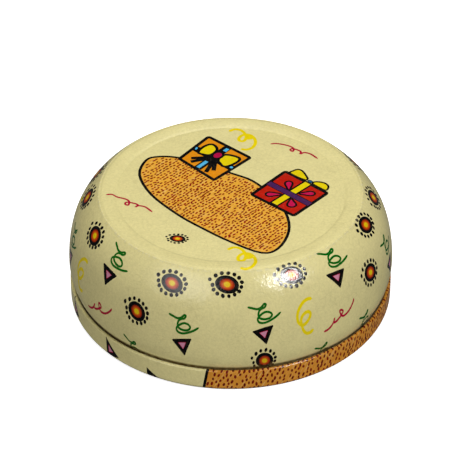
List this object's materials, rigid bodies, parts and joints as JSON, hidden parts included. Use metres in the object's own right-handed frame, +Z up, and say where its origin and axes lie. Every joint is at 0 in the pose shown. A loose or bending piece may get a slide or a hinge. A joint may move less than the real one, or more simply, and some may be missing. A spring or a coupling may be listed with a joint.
{
  "type": "talcum powder tin",
  "caption": "Squat round tinplate powder tin with a domed printed cover in a shallow pan, a talc tub with a turning sifter, and a ribbon-handled puff.",
  "frame": {"origin": "centre of the tin's foot, on the surface that it stands on", "axes": "+Z up, along the tin's axis; -Y towards the front of the printed design; +X to its right"},
  "size_m": [0.12, 0.12, 0.0456],
  "materials": {
    "cover_print": "gloss",
    "pan_print": "gloss",
    "grey_card": "matte",
    "tub_plastic": "satin",
    "shutter_plastic": "satin",
    "talc": "matte",
    "velour_pile": "matte",
    "puff_satin": "satin",
    "ribbon_satin": "satin"
  },
  "bodies": {
    "base": {"base_pan": "pan_print", "card_liner": "grey_card", "powder_tub": "tub_plastic", "talc_fill": "talc", "sifter_plate": "tub_plastic", "sifter_rivet": "tub_plastic"},
    "cover": {"cover_shell": "cover_print"},
    "puff": {"puff_pile": "velour_pile", "puff_back": "puff_satin", "puff_piping": "puff_satin", "puff_ribbon": "ribbon_satin"},
    "shutter": {"sifter_shutter": "shutter_plastic"}
  },
  "joints": [
    {"name": "cover_lift", "type": "slide", "parent": "base", "child": "cover", "axis": [0, 0, 1], "range_m": [0, 0.12]},
    {"name": "puff_lift", "type": "slide", "parent": "base", "child": "puff", "axis": [0, 0, 1], "range_m": [0, 0.06]},
    {"name": "sifter_turn", "type": "hinge", "parent": "base", "child": "shutter", "pos_m": [0, 0, 0.0232], "axis": [0, 0, 1], "range_deg": [0, 15]}
  ],
  "couplings": [
    {"joint": "puff_lift", "follows": "cover_lift", "ratio": 0.5}
  ]
}
